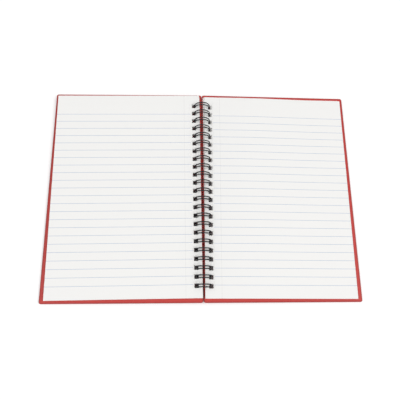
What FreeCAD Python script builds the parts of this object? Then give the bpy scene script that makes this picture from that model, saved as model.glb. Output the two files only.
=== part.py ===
import FreeCAD, Part
import math
import os

# A hardback notebook with a twin-loop wire binding, lying open with about two thirds of its leaves turned.
# Millimetres. X runs across the open book, Y from its foot to its head, Z up from the table.

# Leaves
leaf_width = 147.4
leaf_height = 210.0
turned_thickness = 4.2
unread_thickness = 2.2
turned_groups = 2
unread_groups = 3

# Boards
fore_overhang = 4.85
head_overhang = 3.6
board_thickness = 2.2
board_gap = 0.6
board_corner_radius = 2.0
board_edge_bevel = 0.4

# Wire binding
loop_pitch = 25.4 / 3
row_end_margin = 8.0
ring_inner_diameter = 14.3
wire_diameter = 1.1
wire_pair_spacing = 2.5
root_angle = -7.0
seam_gap = 1.0
crown_angle = 180.0
half_arc_runs = 6
wire_sides = 6

# Punched holes
hole_side = 4.2
board_hole_width = 6.0
board_hole_margin = 6.8
leaf_hole_margin = 5.65
leaf_row_offset = 0.5

# How the stack sits in the rings when the book is open
board_drop = 3.3
turned_slip = 0.2
unread_slip = -0.2
turned_fan = 1.2
page_hump = 1.0
hump_start = 11.0
hump_middle = 48.0
hump_end = 125.0

# How far each end of the binding edge stands from the ring axis, for the lowest and the highest leaves
turned_head_stand = (2.45, 3.15)
turned_foot_stand = (0.75, 0.85)
unread_head_stand = (1.25, 3.2)
unread_foot_stand = (2.0, 1.6)

# Worked out
loop_count = int((leaf_height - 2 * row_end_margin) / loop_pitch) + 1
mean_stand = (sum(turned_head_stand) + sum(turned_foot_stand)) / 4
board_width = mean_stand + leaf_width + fore_overhang - board_gap / 2
board_height = leaf_height + 2 * head_overhang
ring_radius = (ring_inner_diameter + wire_diameter) / 2
wire_radius = wire_diameter / 2
axis_height = ring_radius + wire_radius
board_underside = -(board_drop + board_thickness)
board_reach = board_gap / 2 + board_width
tilt = math.degrees(
    math.asin(axis_height / math.hypot(board_reach, board_underside))
    - math.atan2(-board_underside, board_reach)
)
row_start = -loop_pitch * (loop_count - 1) / 2
overlap = 5.0
axis_point = FreeCAD.Vector(0, 0, axis_height)
along_axis = FreeCAD.Vector(0, 1, 0)
up = FreeCAD.Vector(0, 0, 1)


def loop_place(index):
    """Place of one loop along the ring axis."""
    return row_start + index * loop_pitch


def punches(column, width, bottom, top):
    """A row of prisms, one for each loop, centred a given distance from the ring axis."""
    prisms = []
    for index in range(loop_count):
        corner = FreeCAD.Vector(column - width / 2, loop_place(index) - hole_side / 2, bottom)
        prisms.append(Part.makeBox(width, hole_side, top - bottom, corner))
    return Part.Compound(prisms)


def seat(shape, left):
    """Tilts a half of the book until its board meets the table, and mirrors it for the left side."""
    shape.rotate(FreeCAD.Vector(0, 0, 0), along_axis, tilt)
    shape.translate(axis_point)
    if left:
        shape = shape.mirror(FreeCAD.Vector(0, 0, 0), FreeCAD.Vector(1, 0, 0))
    return shape


def make_board(left):
    """One covered board with rounded corners, softened edges and its row of holes."""
    inner_edge = board_gap / 2
    corner = FreeCAD.Vector(inner_edge, -board_height / 2, board_underside)
    board = Part.makeBox(board_width, board_height, board_thickness, corner)
    upright = [edge for edge in board.Edges if is_upright(edge)]
    board = board.makeFillet(board_corner_radius, upright)
    rims = [edge for edge in board.Edges if is_level(edge)]
    board = board.makeChamfer(board_edge_bevel, rims)
    column = inner_edge + board_hole_margin
    holes = punches(column, board_hole_width, board_underside - overlap, overlap)
    return seat(board.cut(holes).Solids[0], left)


def is_upright(edge):
    """Whether an edge runs through the thickness of a board."""
    rise = abs(edge.Vertexes[0].Z - edge.Vertexes[-1].Z)
    return rise > board_thickness / 2


def is_level(edge):
    """Whether an edge lies in one of the two faces of a board."""
    return edge.BoundBox.ZLength < board_edge_bevel / 2


def leaf_outline(head_stand, foot_stand, slip, bottom, top):
    """A slab of leaves that stands askew: its binding edge is nearer the ring axis at one end.

    The row of holes lies a little below the middle of the leaf, and the leaves slip along it.
    """
    lean = math.atan2(head_stand - foot_stand, leaf_height)
    stand = (head_stand + foot_stand) / 2
    corner = FreeCAD.Vector(stand, leaf_row_offset - leaf_height / 2, bottom)
    slab = Part.makeBox(leaf_width, leaf_height, top - bottom, corner)
    slab = slab.cut(punches(stand + leaf_hole_margin, hole_side, bottom - overlap, top + overlap))
    slab.rotate(FreeCAD.Vector(stand + leaf_hole_margin, 0, 0), up, -math.degrees(lean))
    slab.translate(along_axis * slip)
    return slab


def between(pair, share):
    """A value part of the way from the first of a pair to the second."""
    return pair[0] + (pair[1] - pair[0]) * share


def under_page(edges):
    """The region under the open page's outline, as a solid that runs the length of the book."""
    first = edges[0].Vertexes[0].Point
    last = edges[-1].Vertexes[-1].Point
    depth = FreeCAD.Vector(0, 0, -2 * board_drop)
    rim = Part.Wire(edges + [
        Part.makeLine(last, last + depth),
        Part.makeLine(last + depth, first + depth),
        Part.makeLine(first + depth, first),
    ])
    return Part.Face(rim).extrude(FreeCAD.Vector(0, leaf_height + 2 * overlap, 0))


def page_point(distance, height):
    """A point of the open page's outline, at a height above the board, at the foot of the book."""
    return FreeCAD.Vector(distance, -leaf_height / 2 - overlap, height - board_drop)


def make_leaves(thickness, groups, head_stands, foot_stands, slip, page_edges, left):
    """One side's leaves as a single block of groups that lie a little askew of each other."""
    step = thickness / groups
    block = None
    for group in range(groups):
        share = group / (groups - 1)
        bottom = group * step - board_drop
        is_last = group == groups - 1
        top = bottom + 2 * thickness if is_last else bottom + step
        head_stand = between(head_stands, share)
        foot_stand = between(foot_stands, share)
        slab = leaf_outline(head_stand, foot_stand, slip, bottom, top)
        if is_last:
            slab = slab.common(under_page(page_edges))
        block = slab if block is None else block.fuse(slab)
    return seat(block.Solids[0], left)


def turned_page():
    """The turned leaves fan out a little, so the open page is nearly level."""
    near = page_point(-overlap, turned_thickness - overlap * turned_fan / leaf_width)
    reach = leaf_width + 2 * overlap
    far = page_point(reach, turned_thickness + reach * turned_fan / leaf_width)
    return [Part.makeLine(near, far)]


def unread_page():
    """The open page on the right is flat at the holes, rises in a low hump and then lies flat."""
    start = page_point(hump_start, unread_thickness)
    end = page_point(hump_end, unread_thickness)
    middle = page_point(hump_middle, unread_thickness + page_hump)
    level = FreeCAD.Vector(1, 0, 0)
    curve = Part.BSplineCurve()
    curve.interpolate(Points=[start, middle, end], Tangents=[level] * 3, TangentFlags=[True] * 3)
    return [
        Part.makeLine(page_point(-overlap, unread_thickness), start),
        curve.toShape(),
        Part.makeLine(end, page_point(leaf_width + 2 * overlap, unread_thickness)),
    ]


def ring_point(angle, place):
    """A point on a ring: the angle runs from its lowest point round by the right."""
    turn = math.radians(angle)
    return FreeCAD.Vector(
        ring_radius * math.sin(turn), place, axis_height - ring_radius * math.cos(turn)
    )


def loop_path(place):
    """One twin loop: up from the root, round the ring, over its tip and back down to the root."""
    half = wire_pair_spacing / 2
    corner = math.degrees(half / ring_radius)
    cut = corner * (1 - math.cos(math.pi / 4))
    tip = 360 + root_angle - math.degrees((seam_gap + wire_diameter) / ring_radius)
    start = root_angle + corner
    end = tip - corner
    outer = half * math.sin(math.pi / 4)
    shares = [step / half_arc_runs for step in range(half_arc_runs + 1)]
    arc = [between((start, crown_angle), share) for share in shares]
    arc += [between((crown_angle, end), share) for share in shares[1:]]
    points = [ring_point(root_angle, place - 2 * half)]
    points.append(ring_point(root_angle + cut, place - 2 * half + outer))
    points += [ring_point(angle, place - half) for angle in arc]
    points.append(ring_point(tip - cut, place - outer))
    points.append(ring_point(tip, place))
    points.append(ring_point(tip - cut, place + outer))
    points += [ring_point(angle, place + half) for angle in reversed(arc)]
    points.append(ring_point(root_angle + cut, place + 2 * half - outer))
    points.append(ring_point(root_angle, place + 2 * half))
    return points


def wire_path():
    """The whole comb of loops, bent from one length of wire."""
    path = []
    for index in range(loop_count):
        path += loop_path(loop_place(index))
    return path


def rod_sections(path):
    """Many-sided sections along a path, each carried along its run onto the mitre plane at the next bend.

    One corner of each section points away from the ring axis.
    """
    runs = [(path[i + 1] - path[i]).normalize() for i in range(len(path) - 1)]
    side = runs[0].cross(up).normalize()
    rise = side.cross(runs[0])
    first = []
    for corner in range(wire_sides):
        turn = math.pi * (2 * corner + 1) / wire_sides
        offset = side * math.cos(turn) + rise * math.sin(turn)
        first.append(path[0] + offset * wire_radius)
    sections = [first]
    for index in range(1, len(path)):
        before = runs[index - 1]
        after = runs[min(index, len(runs) - 1)]
        mitre = (before + after).normalize()
        reach = before.dot(mitre)
        carried = []
        for point in sections[-1]:
            step = (path[index] - point).dot(mitre) / reach
            carried.append(point + before * step)
        sections.append(carried)
    return sections


def make_wire():
    """The rod along the comb's path, as one closed solid of flat faces."""
    sections = rod_sections(wire_path())
    faces = []
    for near, far in zip(sections, sections[1:]):
        for corner in range(wire_sides):
            after = (corner + 1) % wire_sides
            rim = Part.makePolygon([near[corner], near[after], far[after], far[corner], near[corner]])
            faces.append(Part.Face(rim))
    for section in (sections[0], sections[-1]):
        faces.append(Part.Face(Part.makePolygon(section + section[:1])))
    shell = Part.makeShell(faces)
    shell.sewShape()
    return Part.Solid(shell)


def save(name, shape):
    """Writes one piece to its own file."""
    shape.exportStep(os.path.join("parts", name + ".step"))
    print(name, shape.ShapeType, len(shape.Solids), len(shape.Faces), shape.isValid(), shape.BoundBox)


os.makedirs("parts", exist_ok=True)
save("front_cover", make_board(True))
save("back_cover", make_board(False))
save("turned_leaves", make_leaves(
    turned_thickness, turned_groups, turned_head_stand, turned_foot_stand, turned_slip,
    turned_page(), True))
save("unread_leaves", make_leaves(
    unread_thickness, unread_groups, unread_head_stand, unread_foot_stand, unread_slip,
    unread_page(), False))
save("wire_binding", make_wire())
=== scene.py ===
import math
import random

import bpy
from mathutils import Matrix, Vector


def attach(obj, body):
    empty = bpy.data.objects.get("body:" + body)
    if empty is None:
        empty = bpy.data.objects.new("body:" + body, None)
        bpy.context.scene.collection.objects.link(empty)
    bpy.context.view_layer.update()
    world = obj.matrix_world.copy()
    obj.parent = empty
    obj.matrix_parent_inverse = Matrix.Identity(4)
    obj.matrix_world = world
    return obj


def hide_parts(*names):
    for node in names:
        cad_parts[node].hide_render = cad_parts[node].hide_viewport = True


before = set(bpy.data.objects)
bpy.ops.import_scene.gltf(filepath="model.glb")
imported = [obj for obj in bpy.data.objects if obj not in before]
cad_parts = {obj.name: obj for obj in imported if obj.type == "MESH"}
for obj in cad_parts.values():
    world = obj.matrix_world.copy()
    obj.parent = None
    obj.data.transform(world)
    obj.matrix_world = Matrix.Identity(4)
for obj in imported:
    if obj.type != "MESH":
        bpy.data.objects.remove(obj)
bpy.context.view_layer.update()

print("stage: frame loaded")

# Binding: what the holes and the wire share. Sizes are in metres and angles in degrees,
# here and below, and follow the part's own.
binding = {
    "loops": 23,
    "pitch": 0.0254 / 3,
    "ringRadius": 0.0077,
    "wireRadius": 0.00055,
}
axisHeight = binding["ringRadius"] + binding["wireRadius"]
rowStart = -binding["pitch"] * (binding["loops"] - 1) / 2


def newMesh(name, points, faces, smooth=False):
    data = bpy.data.meshes.new(name)
    data.from_pydata(points, [], faces)
    data.update()
    for polygon in data.polygons:
        polygon.use_smooth = smooth
    piece = bpy.data.objects.new(name, data)
    bpy.context.scene.collection.objects.link(piece)
    return piece


def addNode(tree, kind, inputs=None, **settings):
    # Each input is either another node's socket, which is linked, or a plain value
    node = tree.nodes.new(kind)
    for key, value in settings.items():
        setattr(node, key, value)
    for key, value in (inputs or {}).items():
        if isinstance(value, bpy.types.NodeSocket):
            tree.links.new(value, node.inputs[key])
        else:
            node.inputs[key].default_value = value
    return node


def maths(tree, operation, first, second=0.0):
    return addNode(tree, "ShaderNodeMath", {0: first, 1: second}, operation=operation).outputs[0]


def blend(tree, share, one, two, way="MIX"):
    inputs = {0: share, 6: one, 7: two}
    return addNode(tree, "ShaderNodeMix", inputs, data_type="RGBA", blend_type=way).outputs[2]


def spread(tree, value, low=0.0, high=1.0, start=0.0, end=1.0):
    # From start and end of the value to low and high
    inputs = {"Value": value, "From Min": start, "From Max": end, "To Min": low, "To Max": high}
    return addNode(tree, "ShaderNodeMapRange", inputs).outputs[0]


def noise(tree, place, scale, detail):
    inputs = {"Vector": place, "Scale": scale, "Detail": detail}
    return addNode(tree, "ShaderNodeTexNoise", inputs).outputs["Fac"]


def relief(tree, height, strength, distance):
    inputs = {"Height": height, "Strength": strength, "Distance": distance}
    return addNode(tree, "ShaderNodeBump", inputs).outputs[0]


def newMaterial(name):
    material = bpy.data.materials.new(name)
    material.use_nodes = True
    material.node_tree.nodes.clear()
    return material, material.node_tree


def backgroundRays(tree):
    # 1 for what the camera sees, also in a reflection or through glass, and 0 for the light
    rays = addNode(tree, "ShaderNodeLightPath").outputs
    mirrored = maths(tree, "MAXIMUM", rays["Is Glossy Ray"], rays["Is Transmission Ray"])
    return maths(tree, "MAXIMUM", rays["Is Camera Ray"], mirrored)


# Covers: the boards of the frame with a red covering
cover = {
    "width": 0.15375,
    "height": 0.2172,
    "red": (0.50, 0.045, 0.037, 1),
    "pore": (0.42, 0.034, 0.029, 1),
    "grainScale": 1100.0,
    "grainDetail": 3.0,
    "grainHeight": 0.0002,
    "grainBump": 0.25,
    "poreRange": (0.3, 0.6),
    "poreShade": 0.35,
    "cloudScale": 28.0,
    "cloudDetail": 2.0,
    "cloudShade": 0.82,
    # Painted shade on the board's rounded rim: how dark the colour gets at the very edge, and over what
    # width it fades
    "paintedEdgeShade": 0.6,
    "paintedShadeWidth": 0.002,
    "roughness": (0.42, 0.62),
    "specular": 0.33,
}


def coveringMaterial():
    # Smooth coated paper with a fine grain, darker in its pores, and with painted shade along the board's
    # rounded edges
    material, tree = newMaterial("red_covering")
    coords = addNode(tree, "ShaderNodeTexCoord").outputs
    share = addNode(tree, "ShaderNodeSeparateXYZ", {"Vector": coords["Generated"]}).outputs
    grain = noise(tree, coords["Object"], cover["grainScale"], cover["grainDetail"])
    cloud = noise(tree, coords["Object"], cover["cloudScale"], cover["cloudDetail"])
    pores = spread(tree, grain, cover["poreShade"], 1.0, *cover["poreRange"])
    shade = maths(tree, "MULTIPLY", pores, spread(tree, cloud, cover["cloudShade"]))
    # Painted shade: the covering's colour darkens over its last millimetres towards the rim, standing in
    # for the shade on the rounded edges
    inset = []
    for axis, length in ((0, cover["width"]), (1, cover["height"])):
        fromMiddle = maths(tree, "ABSOLUTE", maths(tree, "SUBTRACT", share[axis], 0.5))
        inset.append(maths(tree, "MULTIPLY", maths(tree, "SUBTRACT", 0.5, fromMiddle), length))
    fromEdge = maths(tree, "MINIMUM", *inset)
    paintedEdgeDarkening = spread(tree, fromEdge, cover["paintedEdgeShade"], 1.0, 0.0, cover["paintedShadeWidth"])
    colour = blend(tree, shade, cover["pore"], cover["red"])
    shader = addNode(tree, "ShaderNodeBsdfPrincipled", {
        "Base Color": blend(tree, 1.0, colour, paintedEdgeDarkening, "MULTIPLY"),
        "Roughness": spread(tree, grain, *cover["roughness"]),
        "Specular IOR Level": cover["specular"],
        "Normal": relief(tree, grain, cover["grainBump"], cover["grainHeight"]),
    })
    addNode(tree, "ShaderNodeOutputMaterial", {"Surface": shader.outputs[0]})
    return material


redCovering = coveringMaterial()
for name in ("front_cover", "back_cover"):
    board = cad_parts[name]
    board.data.materials.clear()
    board.data.materials.append(redCovering)
print("stage: covers dressed")

# Leaves: thin punched sheets that take the place of the two blocks
leaf = {
    "width": 0.1474,
    "height": 0.210,
    "holeSide": 0.0042,
    "holeMargin": 0.00565,
    "rowOffset": 0.0005,  # the row of holes lies this far below the leaf's middle
    "boardDrop": 0.0033,  # from the ring axis down to the boards' upper faces
    "tilt": 1.0232,
    "sheetShare": 0.86,  # the rest of each sheet's pitch is air
    "stray": 0.00012,
    "seed": 7,
}
turned = {
    "sheets": 42,
    "thickness": 0.0042,
    "headStand": (0.00245, 0.00315),  # lowest and highest sheet, from the ring axis
    "footStand": (0.00075, 0.00085),
    "slip": 0.0002,
    "fan": 0.0012,
    "columns": 8,
}
unread = {
    "sheets": 22,
    "thickness": 0.0022,
    "headStand": (0.00125, 0.0032),
    "footStand": (0.0020, 0.0016),
    "slip": -0.0002,
    "hump": 0.00098,
    "humpStart": 0.011,
    "humpMiddle": 0.048,
    "humpEnd": 0.125,
    "columns": 20,
}
page = {
    "paper": (0.82, 0.815, 0.80, 1),
    "rule": (0.29, 0.37, 0.55, 1),
    "firstRule": 0.084,  # above the middle of the row of holes
    "rulePitch": 0.008,
    "ruleWidth": 0.00028,
    "rules": 23,
    "ruleStart": 0.0089,
    "perforation": 0.0158,
    "slitWidth": 0.00036,
    "slitsPerMetre": 900.0,
    "slitLength": 0.7,  # share of a slit in the distance to the next one
    "slitShade": 0.35,
    "slitColour": (0.45, 0.45, 0.45, 1),
    "fibreScale": 2200.0,
    "fibreDetail": 4.0,
    "fibreShade": 0.97,
    "fibreHeight": 0.00005,
    "fibreBump": 0.12,
    "roughness": 0.82,
    "specular": 0.25,
}


def paperMaterial():
    # Uncoated paper with pale rules, a perforation beside the holes and faint fibres
    material, tree = newMaterial("ruled_paper")
    pageCoords = addNode(tree, "ShaderNodeUVMap", uv_map="page").outputs[0]
    across, along = addNode(tree, "ShaderNodeSeparateXYZ", {"Vector": pageCoords}).outputs[:2]
    row = maths(tree, "SUBTRACT", page["firstRule"], along)
    row = maths(tree, "DIVIDE", row, page["rulePitch"])
    away = maths(tree, "ABSOLUTE", maths(tree, "SUBTRACT", row, maths(tree, "ROUND", row)))
    ruled = maths(tree, "LESS_THAN", away, page["ruleWidth"] / page["rulePitch"] / 2)
    for limit in (
        maths(tree, "LESS_THAN", row, page["rules"] - 0.5),
        maths(tree, "GREATER_THAN", row, -0.5),
        maths(tree, "GREATER_THAN", across, page["ruleStart"]),
    ):
        ruled = maths(tree, "MULTIPLY", ruled, limit)
    beside = maths(tree, "ABSOLUTE", maths(tree, "SUBTRACT", across, page["perforation"]))
    slit = maths(tree, "LESS_THAN", beside, page["slitWidth"] / 2)
    dash = maths(tree, "FRACT", maths(tree, "MULTIPLY", along, page["slitsPerMetre"]))
    slit = maths(tree, "MULTIPLY", slit, maths(tree, "LESS_THAN", dash, page["slitLength"]))
    shade = maths(tree, "MULTIPLY", slit, page["slitShade"])
    place = addNode(tree, "ShaderNodeTexCoord").outputs["Object"]
    fibre = noise(tree, place, page["fibreScale"], page["fibreDetail"])
    tone = spread(tree, fibre, page["fibreShade"])
    inked = blend(tree, ruled, blend(tree, 1.0, page["paper"], tone, "MULTIPLY"), page["rule"])
    shader = addNode(tree, "ShaderNodeBsdfPrincipled", {
        "Base Color": blend(tree, shade, inked, page["slitColour"]),
        "Roughness": page["roughness"],
        "Specular IOR Level": page["specular"],
        "Normal": relief(tree, fibre, page["fibreBump"], page["fibreHeight"]),
    })
    addNode(tree, "ShaderNodeOutputMaterial", {"Surface": shader.outputs[0]})
    return material


def fanHeight(distance):
    # The turned leaves loosen evenly towards the fore edge
    return turned["fan"] * distance / leaf["width"]


def humpHeight(distance):
    # The open page on the right rises smoothly and falls more slowly
    rise = (distance - unread["humpStart"]) / (unread["humpMiddle"] - unread["humpStart"])
    fall = (unread["humpEnd"] - distance) / (unread["humpEnd"] - unread["humpMiddle"])
    share = min(max(min(rise, fall), 0.0), 1.0)
    return unread["hump"] * share * share * (3 - 2 * share)


def leafColumns(steps):
    # Places across a leaf: its binding edge, both sides of the holes, then even steps
    low = leaf["holeMargin"] - leaf["holeSide"] / 2
    high = leaf["holeMargin"] + leaf["holeSide"] / 2
    rest = [high + (leaf["width"] - high) * step / steps for step in range(1, steps + 1)]
    return [0.0, low, high] + rest


def leafRows():
    # Places along a leaf: its two ends and both sides of every hole
    rows = [leaf["rowOffset"] - leaf["height"] / 2]
    for index in range(binding["loops"]):
        middle = rowStart + index * binding["pitch"]
        rows += [middle - leaf["holeSide"] / 2, middle + leaf["holeSide"] / 2]
    return rows + [leaf["rowOffset"] + leaf["height"] / 2]


def seat(x, y, z, side):
    # From a half that lies level to its tilted place in the open book
    turn = math.radians(leaf["tilt"])
    outward = x * math.cos(turn) + z * math.sin(turn)
    height = -x * math.sin(turn) + z * math.cos(turn)
    return (side * outward, y, axisHeight + height)


def facing(side, loops):
    # The mirrored side needs its corners the other way round to face outward
    return loops if side > 0 else [tuple(reversed(loop)) for loop in loops]


def addSheet(faces, start, columnCount, rowCount, side):
    # Top, underside, rim and hole walls of one punched sheet
    layer = columnCount * rowCount

    def isHole(column, row):
        return column == 1 and row % 2 == 1 and 0 < row < rowCount - 1

    def at(column, row, level):
        return start + level * layer + column * rowCount + row

    for column in range(columnCount - 1):
        for row in range(rowCount - 1):
            if isHole(column, row):
                continue
            corners = ((column, row), (column + 1, row), (column + 1, row + 1), (column, row + 1))
            top = tuple(at(*corner, 1) for corner in corners)
            low = tuple(at(*corner, 0) for corner in reversed(corners))
            faces.extend(facing(side, [top, low]))
            neighbours = (
                (column, row - 1, corners[0], corners[1]),
                (column + 1, row, corners[1], corners[2]),
                (column, row + 1, corners[2], corners[3]),
                (column - 1, row, corners[3], corners[0]),
            )
            for nextColumn, nextRow, one, two in neighbours:
                outside = not (0 <= nextColumn < columnCount - 1 and 0 <= nextRow < rowCount - 1)
                if outside or isHole(nextColumn, nextRow):
                    wall = (at(*one, 0), at(*two, 0), at(*two, 1), at(*one, 1))
                    faces.extend(facing(side, [wall]))


def between(limits, share):
    return limits[0] + (limits[1] - limits[0]) * share


def buildLeaves(name, block, lift, side):
    # One side's leaves, each a little askew of its neighbours
    dice = random.Random(leaf["seed"])
    columns = leafColumns(block["columns"])
    rows = leafRows()
    points = []
    faces = []
    pageCoords = []
    pitch = block["thickness"] / block["sheets"]
    last = block["sheets"] - 1
    for index in range(block["sheets"]):
        share = index / last
        stray = dice.uniform(-leaf["stray"], leaf["stray"])
        head = between(block["headStand"], share)
        foot = between(block["footStand"], share)
        lean = math.atan2(head - foot, leaf["height"])
        stand = (head + foot) / 2 + (stray if 0 < index < last else 0)
        pivot = stand + leaf["holeMargin"]
        start = len(points)
        for level in (0.0, leaf["sheetShare"]):
            for column in columns:
                for row in rows:
                    along = column + stand - pivot
                    x = pivot + along * math.cos(lean) + row * math.sin(lean)
                    y = -along * math.sin(lean) + row * math.cos(lean) + block["slip"]
                    rise = (index + level) * pitch + lift(x) * (index + level) / block["sheets"]
                    points.append(seat(x, y, rise - leaf["boardDrop"], side))
                    pageCoords.append((column, row))
        addSheet(faces, start, len(columns), len(rows), side)
    piece = newMesh(name, points, faces)
    layer = piece.data.uv_layers.new(name="page")
    for loop in piece.data.loops:
        layer.data[loop.index].uv = pageCoords[loop.vertex_index]
    return piece


ruledPaper = paperMaterial()
turnedPages = buildLeaves("turned_pages", turned, fanHeight, -1)
turnedPages.data.materials.append(ruledPaper)
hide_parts("turned_leaves")
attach(turnedPages, "turned_part")
unreadPages = buildLeaves("unread_pages", unread, humpHeight, 1)
unreadPages.data.materials.append(ruledPaper)
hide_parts("unread_leaves")
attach(unreadPages, "back_half")
print("stage: leaves made")

# Wire: one round rod bent into the comb of twin loops
wire = {
    "pairSpacing": 0.0025,
    "rootAngle": -7.0,
    "seamGap": 0.001,
    "arcSteps": 40,
    "cornerSteps": 6,
    "sides": 14,
    "black": (0.010, 0.010, 0.012, 1),
    "worn": (0.022, 0.022, 0.025, 1),
    "patchScale": 700.0,
    "patchDetail": 3.0,
    "patchHeight": 0.00005,
    "patchBump": 0.1,
    "roughness": (0.36, 0.55),
    "specular": 0.22,
    "coat": 0.05,
    "coatRoughness": 0.25,
}


def wireMaterial():
    # Black coated wire, satin, with small duller patches
    material, tree = newMaterial("black_coated_wire")
    place = addNode(tree, "ShaderNodeTexCoord").outputs["Object"]
    patches = noise(tree, place, wire["patchScale"], wire["patchDetail"])
    shader = addNode(tree, "ShaderNodeBsdfPrincipled", {
        "Base Color": blend(tree, patches, wire["black"], wire["worn"]),
        "Roughness": spread(tree, patches, *wire["roughness"]),
        "Specular IOR Level": wire["specular"],
        "Coat Weight": wire["coat"],
        "Coat Roughness": wire["coatRoughness"],
        "Normal": relief(tree, patches, wire["patchBump"], wire["patchHeight"]),
    })
    addNode(tree, "ShaderNodeOutputMaterial", {"Surface": shader.outputs[0]})
    return material


def ringPoint(angle, place):
    # The angle runs from the ring's lowest point round by the right
    turn = math.radians(angle)
    x = binding["ringRadius"] * math.sin(turn)
    return Vector((x, place, axisHeight - binding["ringRadius"] * math.cos(turn)))


def loopPath(place):
    # One twin loop: up from the root, round the ring, over its tip and back to the root
    half = wire["pairSpacing"] / 2
    corner = math.degrees(half / binding["ringRadius"])
    root = wire["rootAngle"]
    tip = 360 + root - math.degrees((wire["seamGap"] + 2 * binding["wireRadius"]) / binding["ringRadius"])
    start = root + corner
    end = tip - corner
    steps = wire["arcSteps"]
    arc = [start + (end - start) * step / steps for step in range(1, steps)]
    quarter = [math.pi / 2 * step / wire["cornerSteps"] for step in range(wire["cornerSteps"] + 1)]
    bends = [(corner * (1 - math.cos(turn)), half * math.sin(turn)) for turn in quarter]
    path = [ringPoint(root + gone, place - 2 * half + aside) for gone, aside in bends]
    path += [ringPoint(angle, place - half) for angle in arc]
    path += [ringPoint(tip - gone, place - aside) for gone, aside in reversed(bends)]
    path += [ringPoint(tip - gone, place + aside) for gone, aside in bends[1:]]
    path += [ringPoint(angle, place + half) for angle in reversed(arc)]
    path += [ringPoint(root + gone, place + 2 * half - aside) for gone, aside in reversed(bends)]
    return path


def buildWire():
    path = []
    for index in range(binding["loops"]):
        path += loopPath(rowStart + index * binding["pitch"])
    sides = wire["sides"]
    points = []
    faces = []
    run = (path[1] - path[0]).normalized()
    normal = run.cross(Vector((0, 0, 1))).normalized()
    for index, point in enumerate(path):
        before = (point - path[index - 1]).normalized() if index else run
        after = (path[index + 1] - point).normalized() if index + 1 < len(path) else before
        run = (before + after).normalized()
        normal = (normal - run * normal.dot(run)).normalized()
        across = run.cross(normal)
        for step in range(sides):
            turn = 2 * math.pi * step / sides
            offset = normal * math.cos(turn) + across * math.sin(turn)
            points.append(point + offset * binding["wireRadius"])
    for ring in range(len(path) - 1):
        near = ring * sides
        far = near + sides
        for step in range(sides):
            after = (step + 1) % sides
            faces.append((near + step, near + after, far + after, far + step))
    faces.append(tuple(reversed(range(sides))))
    faces.append(tuple(range(len(points) - sides, len(points))))
    return newMesh("wire_loops", points, faces, smooth=True)


wireLoops = buildWire()
wireLoops.data.materials.append(wireMaterial())
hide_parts("wire_binding")
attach(wireLoops, "back_half")
print("stage: wire made")

# Floor
white = (1, 1, 1, 1)
floor = {
    "reach": 3.0,
    "colour": (0.96, 0.96, 0.96, 1),
    "roughness": 0.9,
    "plainFrom": 0.35,  # from here outward the camera sees the floor turn to plain white
    "plainTo": 0.9,
}


def floorMaterial():
    # Pale floor that keeps the book's shadow and is plain white farther out
    material, tree = newMaterial("pale_floor")
    place = addNode(tree, "ShaderNodeTexCoord").outputs["Object"]
    distance = addNode(tree, "ShaderNodeVectorMath", {0: place}, operation="LENGTH").outputs["Value"]
    far = spread(tree, distance, 0.0, 1.0, floor["plainFrom"], floor["plainTo"])
    matt = addNode(tree, "ShaderNodeBsdfPrincipled", {
        "Base Color": floor["colour"], "Roughness": floor["roughness"],
    })
    plain = addNode(tree, "ShaderNodeEmission", {"Color": white, "Strength": 1.0})
    mixed = addNode(tree, "ShaderNodeMixShader", {
        0: maths(tree, "MULTIPLY", far, backgroundRays(tree)), 1: matt.outputs[0], 2: plain.outputs[0],
    })
    addNode(tree, "ShaderNodeOutputMaterial", {"Surface": mixed.outputs[0]})
    return material


reach = floor["reach"]
floorPlane = newMesh("floor", [
    (-reach, -reach, 0), (reach, -reach, 0), (reach, reach, 0), (-reach, reach, 0),
], [(0, 1, 2, 3)])
floorPlane.data.materials.append(floorMaterial())

# Light: a soft lamp from the right, a weaker one from the left and a plain world
lamps = {
    "key": {"place": (1.5, -0.6, 2.1), "size": 1.3, "power": 34.5},
    "fill": {"place": (-1.2, -0.2, 2.1), "size": 1.6, "power": 25.0},
}
surroundings = {"ambient": 0.42}
for name, values in lamps.items():
    light = bpy.data.lights.new(name, "AREA")
    light.size = values["size"]
    light.energy = values["power"]
    lamp = bpy.data.objects.new(name, light)
    lamp.location = values["place"]
    lamp.rotation_euler = (-Vector(values["place"])).to_track_quat("-Z", "Y").to_euler()
    bpy.context.scene.collection.objects.link(lamp)


def plainWorld():
    # White behind the floor, and a weaker light on the book
    world = bpy.data.worlds.new("plain")
    world.use_nodes = True
    tree = world.node_tree
    tree.nodes.clear()
    strength = spread(tree, backgroundRays(tree), surroundings["ambient"])
    plain = addNode(tree, "ShaderNodeBackground", {"Color": white, "Strength": strength})
    addNode(tree, "ShaderNodeOutputWorld", {"Surface": plain.outputs[0]})
    return world


bpy.context.scene.world = plainWorld()
bpy.context.scene.view_settings.view_transform = "Standard"

# Camera
view = {
    "place": (-0.0231, -0.1204, 0.4160),
    "turn": (15.283, -2.724, -0.468),
    "lens": 38.26,
    "sensor": 36.0,
}
cameraData = bpy.data.cameras.new("camera")
cameraData.lens = view["lens"]
cameraData.sensor_width = view["sensor"]
camera = bpy.data.objects.new("camera", cameraData)
camera.location = view["place"]
camera.rotation_euler = [math.radians(angle) for angle in view["turn"]]
bpy.context.scene.collection.objects.link(camera)
bpy.context.scene.camera = camera
print("stage: floor, light and camera set")
